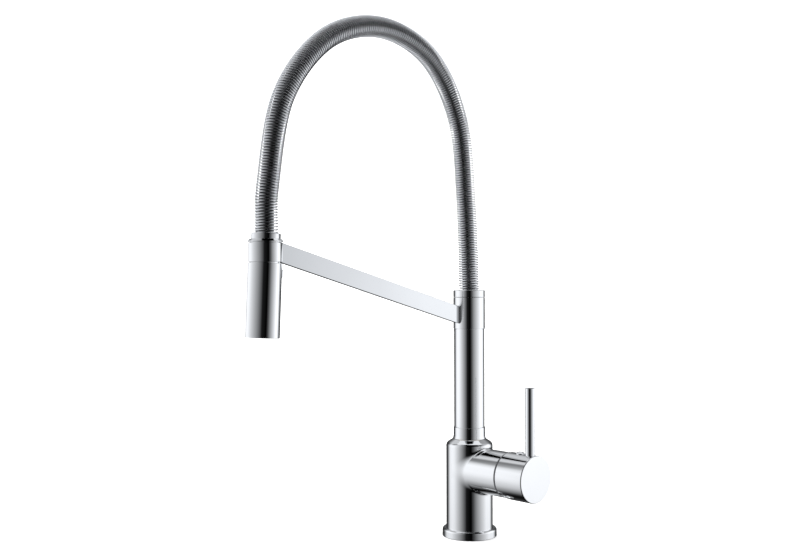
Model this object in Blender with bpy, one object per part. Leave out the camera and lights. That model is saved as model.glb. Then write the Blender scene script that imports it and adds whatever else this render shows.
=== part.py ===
"""A single lever kitchen faucet with a sprung hose arch and a pull down spray head.

+Z is up and the origin is the centre of the base's underside. The spout reaches toward -Y and the
lever stands on the +X side. Every named size below is in millimetres; MM turns it into metres.
"""

import math

import bmesh
import bpy
from mathutils import Matrix, Vector

MM = 0.001
SIDES = 28                   # facets round a large turned piece
SMALL_SIDES = 14             # facets round a small turned piece
GAP = 0.3                    # clearance between touching pieces

# Base and valve body
FLANGE_RADIUS = 26.8
FLANGE_HEIGHT = 8.3
FLANGE_BORE = 17.3
LEDGE_HEIGHT = 3.3           # the ledge in the flange that the body stands on
GASKET_INNER = 20.6
GASKET_OUTER = 23.2
GASKET_HEIGHT = 1.5
BODY_RADIUS = 23.0
BODY_TOP = 95.4
SHOULDER_TOP_RADIUS = 16.4
SHOULDER_EDGE_HEIGHT = 91.4
SHOULDER_FILLET = 5.0
BOTTOM_CAVITY_TOP = 46.0
SPIGOT_BORE = 12.3
SPIGOT_BORE_FLOOR = 58.0
BUSH_BORE = 14.0
BUSH_FLOOR = 84.7
INLET_PLATE_HEIGHT = 10.0
INLET_OFFSET = (7.8, 3.5)    # hot and cold inlets, either side of X = 0
INLET_HOLE = 4.5
INLET_TUBE_TOP = 44.0
STUD_HOLE = 3.0
STUD_OFFSET = 10.0
GRUB_SCREW_HEIGHT = 81.75

# Lever boss and cartridge, measured along +X from the column's axis
LEVER_HEIGHT = 65.7
BOSS_RADIUS = 21.7
BOSS_END = 52.2
CARTRIDGE_BORE = 18.0
CARTRIDGE_SEAT = 17.3
HOUSING_RADIUS = 17.3
HOUSING_CAVITY = 15.3
HOUSING_FLOOR = 21.7
HOUSING_END = 41.7
DISC_THICKNESS = 3.0
STEM_PIVOT = 35.0            # where the lever tilts
WATER_PORTS = ((8.0, 5.7, 2.0), (-8.0, 5.7, 2.0), (0.0, 0.0, 2.6))   # across, down, radius
CAP_RADIUS = 22.3
CAP_SKIRT_BORE = 21.3
CAP_BACK = 53.5
CAP_FRONT = 85.0
CAP_HUB = 60.0
STEM_RADIUS = 4.2
PIN_RADIUS = 4.5
PIN_AT = 77.6
PIN_TOP = 150.8
PLUG_AT = 65.8
PLUG_RADIUS = 4.2

# Column
NECK_RADIUS = 15.6
NECK_TOP = 106.9
RISER_RADIUS = 15.05
RISER_BORE = 12.6
SLEEVE_RADIUS = 15.6
SLEEVE_BORE = 14.2
SLEEVE_BOTTOM = 204.0
SLEEVE_TOP = 235.0
COLUMN_TOP = 242.0
SOCKET_TOP = 233.0

# Arm and holder ring, measured along -Y from the column's axis
ARM_THICKNESS = 4.0
ARM_HEIGHT = 17.0
ARM_RISE = 0.266             # the arm climbs this much for each millimetre outward
ARM_START_HEIGHT = 213.65    # height of its centre line, taken back to the column's axis
HOLDER_REACH = 246.4
HOLDER_RADIUS = 14.2
HOLDER_BORE = 13.1
HOLDER_BOTTOM = 267.0
HOLDER_TOP = 283.3
RIM_TOP = 286.2

# Hose arch: the route's own points as (reach, height), read through as one smooth curve
SPRING_RADIUS = 9.9
SPRING_BORE = 7.6
HOSE_RADIUS = 6.4
HOSE_BORE = 4.4
ARCH_START = (0.0, 240.0)
ARCH_POINTS = ((4.1, 326.0), (15.4, 407.5), (54.2, 464.2), (116.0, 483.3),
               (179.6, 464.2), (227.2, 408.5), (243.9, 332.0))
ARCH_STEPS = 5               # samples between two of those points

# Spray head: its own axis leans, and h is the height along it from SPRAY_HEIGHT
SPRAY_HEIGHT = 275.0
SPRAY_LEAN = 2.5             # degrees, the bottom further out than the top
COLLAR_RADIUS = 12.3
COLLAR_TOP = 16.0
COLLAR_BOTTOM = -8.5
SHELL_RADIUS = 14.3
SHELL_BORE = 12.8
SHELL_TOP = -10.0
SHELL_BOTTOM = -71.0
SHELL_ROOF = 2.5
CORE_RADIUS = 12.3
BUTTON_WIDTH = 11.0
BUTTON_HEIGHT = 8.0
BUTTON_CENTRE = -16.5
BUTTON_FACE = 16.0


def material(name, colour, roughness, metallic):
    """A Principled material in one plain colour."""
    made = bpy.data.materials.new(name)
    made.use_nodes = True
    shader = made.node_tree.nodes["Principled BSDF"]
    shader.inputs["Base Color"].default_value = (*colour, 1.0)
    shader.inputs["Roughness"].default_value = roughness
    shader.inputs["Metallic"].default_value = metallic
    made.diffuse_color = (*colour, 1.0)
    return made


def empty(name, location, parent=None, lean=0.0):
    """A joint's frame. Its location is in millimetres in its parent's frame."""
    made = bpy.data.objects.new(name, None)
    bpy.context.scene.collection.objects.link(made)
    made.parent = parent
    made.location = Vector(location) * MM
    made.rotation_euler = (math.radians(lean), 0.0, 0.0)
    return made


def finish(name, mesh_data, surface, parent=None, location=(0, 0, 0)):
    """Turns bmesh data in millimetres into a named object, shaded smooth with sharp corners kept."""
    bmesh.ops.recalc_face_normals(mesh_data, faces=mesh_data.faces)
    bmesh.ops.scale(mesh_data, vec=(MM, MM, MM), verts=mesh_data.verts)
    mesh = bpy.data.meshes.new(name)
    mesh_data.to_mesh(mesh)
    mesh_data.free()
    mesh.shade_smooth()
    mesh.set_sharp_from_angle(angle=math.radians(30))
    made = bpy.data.objects.new(name, mesh)
    bpy.context.scene.collection.objects.link(made)
    made.parent = parent
    made.location = Vector(location) * MM
    if surface:
        mesh.materials.append(surface)
    else:
        made.hide_render = True
        made.display_type = "WIRE"
    return made


def rounded(corners, steps=2):
    """An outline's points, where a corner given as (r, h, radius) becomes an arc of that radius."""
    points = []
    for i, corner in enumerate(corners):
        here = Vector(corner[:2])
        if len(corner) == 2:
            points.append(here)
            continue
        before = (Vector(corners[i - 1][:2]) - here).normalized()
        after = (Vector(corners[(i + 1) % len(corners)][:2]) - here).normalized()
        half = before.angle(after) / 2
        centre = here + (before + after).normalized() * corner[2] / math.sin(half)
        first = here + before * corner[2] / math.tan(half) - centre
        last = here + after * corner[2] / math.tan(half) - centre
        sweep = first.angle_signed(last)
        points += [centre + Matrix.Rotation(-sweep * k / steps, 2) @ first
                   for k in range(steps + 1)]
    return points


AXES = {
    "Z": Matrix.Identity(4),
    "X": Matrix.Rotation(math.radians(90), 4, "Y"),
    "Y": Matrix.Rotation(math.radians(-90), 4, "X"),
}


def turned(name, corners, surface, axis="Z", sides=SIDES, parent=None, location=(0, 0, 0)):
    """A solid turned about an axis from a closed outline of (radius, height) corners.

    An outline may start and end on the axis; otherwise it makes a ring.
    """
    data = bmesh.new()
    points = rounded(corners)
    capped = [ends[0].x < 1e-6 and abs(ends[0].y - ends[1].y) < 1e-4
              for ends in (points, points[::-1])]
    points = points[capped[0]:len(points) - capped[1]]
    rings = []
    for radius, height in points:
        count = sides if radius > 1e-6 else 1
        turns = [2 * math.pi * k / sides for k in range(count)]
        rings.append([data.verts.new((radius * math.cos(a), radius * math.sin(a), height))
                      for a in turns])
    for flat, end in zip(capped, (rings[0], rings[-1])):
        if flat:
            data.faces.new(end)
    joined = zip(rings, rings[1:]) if any(capped) else zip(rings, rings[1:] + rings[:1])
    for low, high in joined:
        if len(low) == len(high) == 1:
            continue
        for k in range(sides):
            used = (low[k % len(low)], low[(k + 1) % len(low)],
                    high[(k + 1) % len(high)], high[k % len(high)])
            data.faces.new(dict.fromkeys(used))
    bmesh.ops.transform(data, matrix=AXES[axis], verts=data.verts)
    return finish(name, data, surface, parent, location)


def rod(name, radius, low, high, surface, axis="Z", sides=SMALL_SIDES, parent=None,
        location=(0, 0, 0), chamfer=0.0):
    """A solid round bar from low to high along an axis."""
    corners = [(0, low), (radius - chamfer, low), (radius, low + chamfer),
               (radius, high - chamfer), (radius - chamfer, high), (0, high)]
    if not chamfer:
        corners = [(0, low), (radius, low), (radius, high), (0, high)]
    return turned(name, corners, surface, axis, sides, parent, location)


def ring(name, inner, outer, low, high, surface, axis="Z", sides=SIDES, parent=None,
         location=(0, 0, 0)):
    """A plain tube or washer."""
    corners = [(inner, low), (outer, low), (outer, high), (inner, high)]
    return turned(name, corners, surface, axis, sides, parent, location)


def o_ring(name, middle, thickness, height, surface, parent=None):
    """A ring with a six sided section."""
    half = thickness / 2
    turns = [math.radians(a) for a in range(0, 360, 60)]
    corners = [(middle + half * math.cos(a), height + half * math.sin(a)) for a in turns]
    return turned(name, corners, surface, sides=16, parent=parent)


def block(name, low, high, surface, parent=None):
    """A box from its lowest to its highest corner."""
    data = bmesh.new()
    bmesh.ops.create_cube(data, size=1.0)
    size = Vector(high) - Vector(low)
    middle = (Vector(high) + Vector(low)) / 2
    bmesh.ops.scale(data, vec=size, verts=data.verts)
    bmesh.ops.translate(data, vec=middle, verts=data.verts)
    return finish(name, data, surface, parent)


def combine(target, tool, operation="DIFFERENCE"):
    """Cuts a hidden tool out of a piece, or joins the tool to it."""
    step = target.modifiers.new(tool.name, "BOOLEAN")
    step.operation = operation
    step.solver = "EXACT"
    step.object = tool


def swept(name, path, outer, inner, sides, surface):
    """A hollow tube along a path of (reach, height) points in the plane X = 0."""
    data = bmesh.new()
    outside, inside = [], []
    for i, here in enumerate(path):
        along = (path[min(i + 1, len(path) - 1)] - path[max(i - 1, 0)]).normalized()
        across = Vector((0, -along.y, -along.x))
        centre = Vector((0, -here.x, here.y))
        for rings, radius in ((outside, outer), (inside, inner)):
            turns = [2 * math.pi * k / sides for k in range(sides)]
            rings.append([data.verts.new(centre + radius * (math.cos(a) * Vector((1, 0, 0))
                                                            + math.sin(a) * across))
                          for a in turns])
    walls = list(zip(outside, outside[1:])) + list(zip(inside, inside[1:]))
    walls += [(outside[0], inside[0]), (outside[-1], inside[-1])]
    for low, high in walls:
        for k in range(sides):
            j = (k + 1) % sides
            data.faces.new((low[k], low[j], high[j], high[k]))
    return finish(name, data, surface)


def spray_axis_point(h):
    """The (reach, height) of a point on the spray head's leaning axis."""
    lean = math.radians(SPRAY_LEAN)
    return Vector((HOLDER_REACH - h * math.sin(lean), SPRAY_HEIGHT + h * math.cos(lean)))


def arch_path(low, h_end):
    """The hose's centre line, from a height inside the column to h_end inside the collar."""
    start, end = Vector(ARCH_START), spray_axis_point(COLLAR_TOP)
    knots = [start - Vector((0, 55)), start]
    knots += [Vector(p) for p in ARCH_POINTS]
    knots += [end, spray_axis_point(COLLAR_TOP - 55)]
    path = [Vector((0, low))]
    for a, b, c, d in zip(knots, knots[1:], knots[2:], knots[3:]):
        for k in range(ARCH_STEPS):
            t = k / ARCH_STEPS
            path.append(0.5 * (2 * b + (c - a) * t + (2 * a - 5 * b + 4 * c - d) * t ** 2
                               + (3 * b - a - 3 * c + d) * t ** 3))
    return path + [end, spray_axis_point(h_end)]


def make_base():
    """The flange, the inlets and the valve body with its side boss."""
    groove_in, groove_out = GASKET_INNER - GAP, GASKET_OUTER + GAP
    groove = GASKET_HEIGHT + GAP
    seat = BODY_RADIUS + 0.35
    turned("base_flange", [(FLANGE_BORE, 0), (groove_in, 0), (groove_in, groove),
                           (groove_out, groove), (groove_out, 0), (FLANGE_RADIUS, 0),
                           (FLANGE_RADIUS, FLANGE_HEIGHT, 2.7), (seat, FLANGE_HEIGHT),
                           (seat, LEDGE_HEIGHT), (FLANGE_BORE, LEDGE_HEIGHT)], chrome)
    ring("base_gasket", GASKET_INNER, GASKET_OUTER, 0, GASKET_HEIGHT, rubber)

    plate = rod("inlet_plate", FLANGE_BORE - GAP, 0, INLET_PLATE_HEIGHT, brass, sides=SIDES)
    combine(plate, rod("stud_hole", STUD_HOLE, -1, INLET_PLATE_HEIGHT + 1, None,
                       location=(0, -STUD_OFFSET, 0)))
    for side, label in ((-1, "hot"), (1, "cold")):
        place = (side * INLET_OFFSET[0], INLET_OFFSET[1], 0)
        combine(plate, rod(label + "_hole", INLET_HOLE, -1, INLET_PLATE_HEIGHT + 1, None,
                           location=place))
        ring(label + "_inlet_tube", 2.8, INLET_HOLE - GAP, 1.0, INLET_TUBE_TOP, steel,
             sides=16, location=place)

    body = turned("valve_body", [(0, LEDGE_HEIGHT + GAP), (BODY_RADIUS, LEDGE_HEIGHT + GAP),
                                 (BODY_RADIUS, SHOULDER_EDGE_HEIGHT, SHOULDER_FILLET),
                                 (SHOULDER_TOP_RADIUS, BODY_TOP), (0, BODY_TOP)], chrome)
    combine(body, turned("boss", [(0, 2), (BOSS_RADIUS, 2), (BOSS_RADIUS, BOSS_END, 0.5),
                                  (0, BOSS_END)], None, "X", location=(0, 0, LEVER_HEIGHT)),
            "UNION")
    combine(body, rod("bottom_cavity", FLANGE_BORE, -1, BOTTOM_CAVITY_TOP, None, sides=SIDES))
    combine(body, turned("spigot_bore", [(0, SPIGOT_BORE_FLOOR), (SPIGOT_BORE, SPIGOT_BORE_FLOOR),
                                         (SPIGOT_BORE, BUSH_FLOOR), (BUSH_BORE, BUSH_FLOOR),
                                         (BUSH_BORE, BODY_TOP + 2), (0, BODY_TOP + 2)], None))
    combine(body, rod("cartridge_bore", CARTRIDGE_BORE, CARTRIDGE_SEAT, BOSS_END + 2, None, "X",
                      sides=SIDES, location=(0, 0, LEVER_HEIGHT)))
    combine(body, rod("grub_screw_hole", 2.3, 11, BODY_RADIUS + 2, None, "Y", sides=12,
                      location=(0, 0, GRUB_SCREW_HEIGHT)))
    combine(body, rod("mixed_water_drilling", 2.6, 10, CARTRIDGE_SEAT + 2, None, "X", sides=12,
                      location=(0, 0, LEVER_HEIGHT)))
    for side, label in ((-1, "hot"), (1, "cold")):
        across, down = WATER_PORTS[0][:2]
        combine(body, rod(label + "_rise", 2.2, BOTTOM_CAVITY_TOP - 1, LEVER_HEIGHT - down + 1,
                          None, sides=12, location=(14.6, side * across, 0)))
        combine(body, rod(label + "_port", 2.0, 13.6, CARTRIDGE_SEAT + 2, None, "X", sides=12,
                          location=(0, side * across, LEVER_HEIGHT - down)))

    ring("swivel_bush", 12.4, BUSH_BORE - GAP, BUSH_FLOOR + GAP, BODY_TOP - 0.2, white_plastic)
    turned("spout_grub_screw", [(0, 10.7), (1.4, 10.7), (1.4, 12.7), (2.0, 12.7), (2.0, 22.2),
                                (0, 22.2)], steel, "Y", 12, location=(0, 0, GRUB_SCREW_HEIGHT))


def make_cartridge():
    """The ceramic cartridge in the side boss. All of its pieces lie along +X."""
    place = (0, 0, LEVER_HEIGHT)
    ring("cartridge_seal", 13.0, 16.0, CARTRIDGE_SEAT + GAP, 18.9, rubber, "X", location=place)
    housing = turned("cartridge_housing",
                     [(0, 19.2), (HOUSING_RADIUS, 19.2), (HOUSING_RADIUS, HOUSING_END),
                      (10, HOUSING_END), (10, HOUSING_END - 2.5),
                      (HOUSING_CAVITY, HOUSING_END - 2.5), (HOUSING_CAVITY, HOUSING_FLOOR),
                      (0, HOUSING_FLOOR)], white_plastic, "X", location=place)
    disc_low = HOUSING_FLOOR + GAP
    disc_high = disc_low + DISC_THICKNESS
    fixed = rod("fixed_ceramic_disc", HOUSING_CAVITY - GAP, disc_low, disc_high, ceramic, "X",
                sides=SIDES, location=place)
    for number, (across, down, radius) in enumerate(WATER_PORTS):
        where = (0, across, LEVER_HEIGHT - down)
        tool = rod(f"disc_port_{number}", radius, 18, disc_high + 1, None, "X", 12, location=where)
        combine(housing, tool)
        combine(fixed, tool)

    nut = rod("retaining_nut", 17.6, HOUSING_END + GAP, 48.5, brass, "X", sides=SIDES,
              location=place)
    combine(nut, rod("nut_hexagon", 16.5, 46.0, 51.8, None, "X", sides=6, location=place), "UNION")
    combine(nut, rod("nut_bore", 12.5, 40, 60, None, "X", sides=SIDES, location=place))


def make_lever():
    """The carrier that turns in the cartridge, the disc it slides, and the lever that tilts."""
    turn = empty("lever_turn_axis", (STEM_PIVOT, 0, LEVER_HEIGHT))
    tilt = empty("lever_tilt_axis", (0, 0, 0), turn)
    moving_low = HOUSING_FLOOR + DISC_THICKNESS + 2 * GAP - STEM_PIVOT
    moving_high = moving_low + DISC_THICKNESS

    disc = rod("moving_ceramic_disc", 11.5, moving_low, moving_high, ceramic, "X", parent=turn,
               sides=SIDES)
    combine(disc, rod("disc_pocket", 3.2, moving_low + 0.6, moving_high + 1, None, "X",
                      parent=turn))

    carrier = rod("cartridge_carrier", HOUSING_CAVITY - GAP, moving_high + GAP,
                  HOUSING_END - 2.5 - GAP - STEM_PIVOT, white_plastic, "X", sides=SIDES,
                  parent=turn)
    combine(carrier, block("stem_slot", (-12, -4.6, -7.2), (12, 4.6, 7.2), None, turn))
    pin_hole = rod("pivot_hole", 1.5, -20, 20, None, "Y", 12, turn)
    combine(carrier, pin_hole)
    rod("stem_pivot_pin", 1.2, -14.3, 14.3, steel, "Y", 12, turn)

    stem = turned("cartridge_stem", [(0, -8.2), (2.5, -8.2), (2.5, -4.5), (STEM_RADIUS, -4.5),
                                     (STEM_RADIUS, 39), (0, 39)], brass, "X", SMALL_SIDES, tilt)
    combine(stem, pin_hole)

    back, front, hub = (x - STEM_PIVOT for x in (CAP_BACK, CAP_FRONT, CAP_HUB))
    bore = STEM_RADIUS + 0.4
    cap = turned("lever_cap", [(0, 39.5), (bore, 39.5), (bore, hub), (CAP_SKIRT_BORE, hub),
                               (CAP_SKIRT_BORE, back), (CAP_RADIUS, back),
                               (CAP_RADIUS, front, 0.6), (0, front)], chrome, "X", parent=tilt)
    relief = block("cap_relief", (-20, -30, -20), (20, 30, 0), None, tilt)
    relief.location = Vector((back, 0, -17.5)) * MM
    relief.rotation_euler = (0, math.radians(29), 0)
    combine(cap, relief)
    plug_at = PLUG_AT - STEM_PIVOT
    pin_at = PIN_AT - STEM_PIVOT
    combine(cap, turned("set_screw_hole", [(0, 4.0), (2.7, 4.0), (2.7, 21.5),
                                           (PLUG_RADIUS + GAP, 21.5),
                                           (PLUG_RADIUS + GAP, 26), (0, 26)], None, sides=16, parent=tilt,
                        location=(plug_at, 0, 0)))
    combine(cap, rod("pin_hole", PIN_RADIUS + GAP, 8.0, 26, None, parent=tilt,
                     location=(pin_at, 0, 0)))
    rod("cap_set_screw", 2.4, STEM_RADIUS + 0.4, 13, steel, sides=12, parent=tilt,
        location=(plug_at, 0, 0))
    turned("screw_cover", [(0, 15), (2.4, 15), (2.4, 21.8), (PLUG_RADIUS, 21.8),
                           (PLUG_RADIUS, 22.6), (PLUG_RADIUS - 0.6, 23.4),
                           (PLUG_RADIUS - 2.0, 23.9), (0, 24.0)], chrome, sides=16, parent=tilt,
           location=(plug_at, 0, 0))
    rod("lever_pin", PIN_RADIUS, 8.3, PIN_TOP - LEVER_HEIGHT, chrome, parent=tilt, sides=24,
        location=(pin_at, 0, 0), chamfer=0.5)


def make_column():
    """What swivels in the body: spigot, riser, sleeve, arm and the ring that docks the head."""
    swivel = empty("swivel_axis", (0, 0, 0))
    spigot = [(7.5, 69)]
    for low, high in ((71.5, 73.5), (75.5, 77.5), (80.0, 83.5)):
        spigot += [(12, low - 2.5 if low < 72 else low), (10.2, low), (10.2, high), (12, high)]
    spigot[1:2] = [(12, 69), (12, 71.5)]
    spigot += [(12, BODY_TOP + 0.4), (12.7, BODY_TOP + 0.4), (12.7, 118), (7.5, 118)]
    turned("riser_spigot", spigot, brass, parent=swivel)
    o_ring("lower_o_ring", 11.2, 1.4, 72.5, rubber, swivel)
    o_ring("upper_o_ring", 11.2, 1.4, 76.5, rubber, swivel)
    foot = BODY_TOP + 0.4
    turned("neck_ring", [(13, foot), (16.3, foot), (NECK_RADIUS, foot + 3), (NECK_RADIUS, NECK_TOP),
                         (13, NECK_TOP)], chrome, parent=swivel)
    tenon = SLEEVE_BORE - GAP
    turned("riser_tube", [(13.1, NECK_TOP + 0.4), (RISER_RADIUS, NECK_TOP + 0.4),
                          (RISER_RADIUS, SLEEVE_BOTTOM - GAP), (tenon, SLEEVE_BOTTOM - GAP),
                          (tenon, SLEEVE_TOP - GAP), (RISER_BORE, SLEEVE_TOP - GAP),
                          (RISER_BORE, 120), (13.1, 120)], chrome, parent=swivel)
    ring("water_tube", 4.0, 5.5, 110, 222, steel, sides=16, parent=swivel)
    turned("hose_socket", [(5.9, 214), (12.2, 214), (12.2, SOCKET_TOP), (7, SOCKET_TOP),
                           (7, 224), (5.9, 224)], brass, parent=swivel)
    ring("arm_sleeve", SLEEVE_BORE, SLEEVE_RADIUS, SLEEVE_BOTTOM, SLEEVE_TOP, chrome,
         parent=swivel)
    turned("column_cap", [(SLEEVE_BORE, SLEEVE_TOP + GAP), (SLEEVE_RADIUS, SLEEVE_TOP + GAP),
                          (SLEEVE_RADIUS, COLUMN_TOP, 0.5), (SPRING_RADIUS + 0.5, COLUMN_TOP),
                          (SPRING_RADIUS + 0.5, 239), (SLEEVE_BORE, 239)], chrome, parent=swivel)

    data = bmesh.new()
    near, far = SLEEVE_RADIUS + GAP, HOLDER_REACH - HOLDER_RADIUS - GAP
    side = []
    for reach, up in ((near, -0.5), (far, -0.5), (far, 0.5), (near, 0.5)):
        height = ARM_START_HEIGHT + ARM_RISE * reach + ARM_HEIGHT * up
        side.append(data.verts.new((-ARM_THICKNESS / 2, -reach, height)))
    face = data.faces.new(side)
    grown = bmesh.ops.extrude_face_region(data, geom=[face])["geom"]
    moved = [item for item in grown if isinstance(item, bmesh.types.BMVert)]
    bmesh.ops.translate(data, vec=(ARM_THICKNESS, 0, 0), verts=moved)
    finish("arm_bar", data, chrome, swivel)

    place = (0, -HOLDER_REACH, 0)
    ring("holder_ring", HOLDER_BORE, HOLDER_RADIUS, HOLDER_BOTTOM, HOLDER_TOP, chrome,
         parent=swivel, location=place)
    turned("holder_rim", [(HOLDER_BORE + 0.1, HOLDER_TOP + GAP), (14.3, HOLDER_TOP + GAP),
                          (14.3, HOLDER_TOP + 1.2), (13.6, RIM_TOP), (HOLDER_BORE + 0.1, RIM_TOP)],
           chrome, parent=swivel, location=place)


def make_spray():
    """The hose arch, the hose end that slides out of the holder, and the spray head on it."""
    swept("spring_cover", arch_path(SOCKET_TOP + 0.4, 2.5), SPRING_RADIUS, SPRING_BORE, 10,
          spring_steel)
    swept("inner_hose", arch_path(224.4, 1.2), HOSE_RADIUS, HOSE_BORE, 6, black_plastic)

    pull = empty("spray_pull_axis", (0, -HOLDER_REACH, SPRAY_HEIGHT), lean=-SPRAY_LEAN)
    turned("hose_collar", [(8, COLLAR_BOTTOM), (COLLAR_RADIUS, COLLAR_BOTTOM),
                           (COLLAR_RADIUS, COLLAR_TOP, 0.8), (SPRING_RADIUS + 0.5, COLLAR_TOP),
                           (SPRING_RADIUS + 0.5, 2), (7, 2), (7, -2), (8, -2)], chrome,
           parent=pull)
    turned("hose_nipple", [(3.4, -13.5), (4.0, -13.5), (4.0, -11.4), (3.9, -11.4), (3.9, -9.4),
                           (5.2, -9.4), (5.2, -7), (7.7, -7), (7.7, -2.3), (6.4, -2.3),
                           (6.4, 0.9), (3.4, 0.9)], brass, sides=24, parent=pull)
    o_ring("nipple_o_ring", 4.95, 1.4, -10.4, rubber, pull)

    head = empty("spray_swivel_axis", (0, 0, 0), pull)
    shell = turned("spray_shell", [(8, SHELL_TOP), (SHELL_RADIUS, SHELL_TOP, 0.5),
                                   (SHELL_RADIUS, SHELL_BOTTOM, 0.5), (SHELL_BORE, SHELL_BOTTOM),
                                   (SHELL_BORE, SHELL_TOP - SHELL_ROOF),
                                   (8, SHELL_TOP - SHELL_ROOF)], chrome, parent=head)
    half_width, half_height = BUTTON_WIDTH / 2, BUTTON_HEIGHT / 2
    window = block("button_window", (-half_width - GAP, 9, BUTTON_CENTRE - half_height - GAP),
                   (half_width + GAP, 20, BUTTON_CENTRE + half_height - 0.7), None, head)
    combine(shell, window)
    ring("dock_ring", 12.6, 13.9, SHELL_TOP + GAP, SHELL_TOP + 1.0, rubber, parent=head)
    ring("swivel_nut", 5.8, 7.7, -12.9, -7.3, brass, sides=24, parent=head)

    core = turned("waterway", [(6.3, -14), (CORE_RADIUS, -14), (CORE_RADIUS, -62), (3, -62),
                               (3, -40.5), (5.3, -40.5), (5.3, -24), (4.5, -24), (4.5, -18),
                               (6.3, -18)][::-1], white_plastic, sides=32, parent=head)
    combine(core, block("button_pocket", (-6.2, 7.9, -22), (6.2, 20, -10), None, head))
    spool_height = (0, 0, -17)
    combine(core, turned("spool_bore", [(0, 2), (2.1, 2), (2.1, 6.2), (3.6, 6.2), (3.6, 10),
                                        (0, 10)], None, "Y", 12, head, spool_height))
    ring("check_valve", 1.8, 5.0, -40.2, -24.3, black_plastic, sides=16, parent=head)
    ring("nozzle_mat", 5.7, 12.3, -65.7, -62.3, silicone, sides=32, parent=head)
    turned("spray_face", [(5.7, -66), (12.5, -66), (12.5, -70.6), (5.7, -70.6)][::-1],
           black_plastic, sides=32, parent=head)
    ring("aerator", 2.2, 5.3, -70.3, -62.5, white_plastic, sides=24, parent=head)

    press = empty("button_axis", (0, BUTTON_FACE, BUTTON_CENTRE), head)
    data = bmesh.new()
    arc = [math.radians(a) for a in range(0, 181, 30)]
    front = [(half_width * math.cos(a), -1.6 + 1.6 * math.sin(a)) for a in arc]
    profile = [(x, y) for x, y in front] + [(-half_width, -4.6), (half_width, -4.6)]
    loop = [data.verts.new((x, y, -half_height)) for x, y in profile]
    face = data.faces.new(loop)
    grown = bmesh.ops.extrude_face_region(data, geom=[face])["geom"]
    moved = [item for item in grown if isinstance(item, bmesh.types.BMVert)]
    bmesh.ops.translate(data, vec=(0, 0, BUTTON_HEIGHT - 1.0), verts=moved)
    finish("mode_button", data, chrome, press)
    inward = (0, -BUTTON_FACE, spool_height[2] - BUTTON_CENTRE)
    rod("diverter_spool", 1.8, 3.0, 11.0, brass, "Y", 12, press, inward)
    ring("button_spring", 2.2, 3.2, 8.2, 11.0, steel, "Y", 12, press, inward)


for old in list(bpy.data.objects):
    bpy.data.objects.remove(old)

chrome = material("chrome", (0.80, 0.81, 0.83), 0.06, 1.0)
brass = material("brass", (0.72, 0.55, 0.28), 0.30, 1.0)
steel = material("steel", (0.60, 0.61, 0.63), 0.25, 1.0)
spring_steel = material("spring_steel", (0.42, 0.43, 0.45), 0.22, 1.0)
rubber = material("rubber", (0.03, 0.03, 0.03), 0.70, 0.0)
ceramic = material("ceramic", (0.90, 0.89, 0.86), 0.25, 0.0)
white_plastic = material("white_plastic", (0.82, 0.82, 0.80), 0.45, 0.0)
black_plastic = material("black_plastic", (0.05, 0.05, 0.055), 0.50, 0.0)
silicone = material("silicone", (0.45, 0.46, 0.48), 0.60, 0.0)

make_base()
make_cartridge()
make_lever()
make_column()
make_spray()
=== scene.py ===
"""The looks of a pull down kitchen faucet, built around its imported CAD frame.

Lengths in the piece makers are millimetres in the row frame (+Z up, spout toward -Y, lever at +X);
MM turns them into metres. Polished pieces carry exact normals, so their reflections run true.
"""

import math

import bmesh
import bpy
import numpy as np
from mathutils import Matrix, Vector


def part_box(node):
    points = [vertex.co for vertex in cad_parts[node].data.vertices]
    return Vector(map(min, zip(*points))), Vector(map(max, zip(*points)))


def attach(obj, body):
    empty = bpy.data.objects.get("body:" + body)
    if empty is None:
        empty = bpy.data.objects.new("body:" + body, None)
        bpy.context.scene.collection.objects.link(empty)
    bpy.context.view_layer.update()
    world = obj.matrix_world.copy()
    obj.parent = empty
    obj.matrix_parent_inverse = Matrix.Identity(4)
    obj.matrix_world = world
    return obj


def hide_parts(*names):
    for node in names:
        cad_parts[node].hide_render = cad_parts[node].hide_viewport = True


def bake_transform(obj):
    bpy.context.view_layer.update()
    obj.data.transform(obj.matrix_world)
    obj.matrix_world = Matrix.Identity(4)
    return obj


MM = 0.001
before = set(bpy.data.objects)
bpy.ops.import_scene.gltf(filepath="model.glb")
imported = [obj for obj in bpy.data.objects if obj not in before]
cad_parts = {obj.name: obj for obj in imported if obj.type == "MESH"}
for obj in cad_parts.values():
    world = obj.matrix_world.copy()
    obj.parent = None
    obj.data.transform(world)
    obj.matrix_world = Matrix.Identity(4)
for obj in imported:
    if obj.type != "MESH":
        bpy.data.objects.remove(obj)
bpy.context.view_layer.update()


def span(node, axis):
    """A CAD node's lowest and highest coordinate along an axis, in millimetres."""
    low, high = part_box(node)
    return low[axis] / MM, high[axis] / MM


X, Y, Z = 0, 1, 2
LEVER_HEIGHT = sum(span("lever_cap", Z)) / 2
HOLDER_REACH = -sum(span("holder_ring", Y)) / 2
SPRAY_HEIGHT = 275.0
SPRAY_LEAN = math.radians(2.5)
TURN = 2 * math.pi


# ---------------------------------------------------------------- materials

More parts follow.
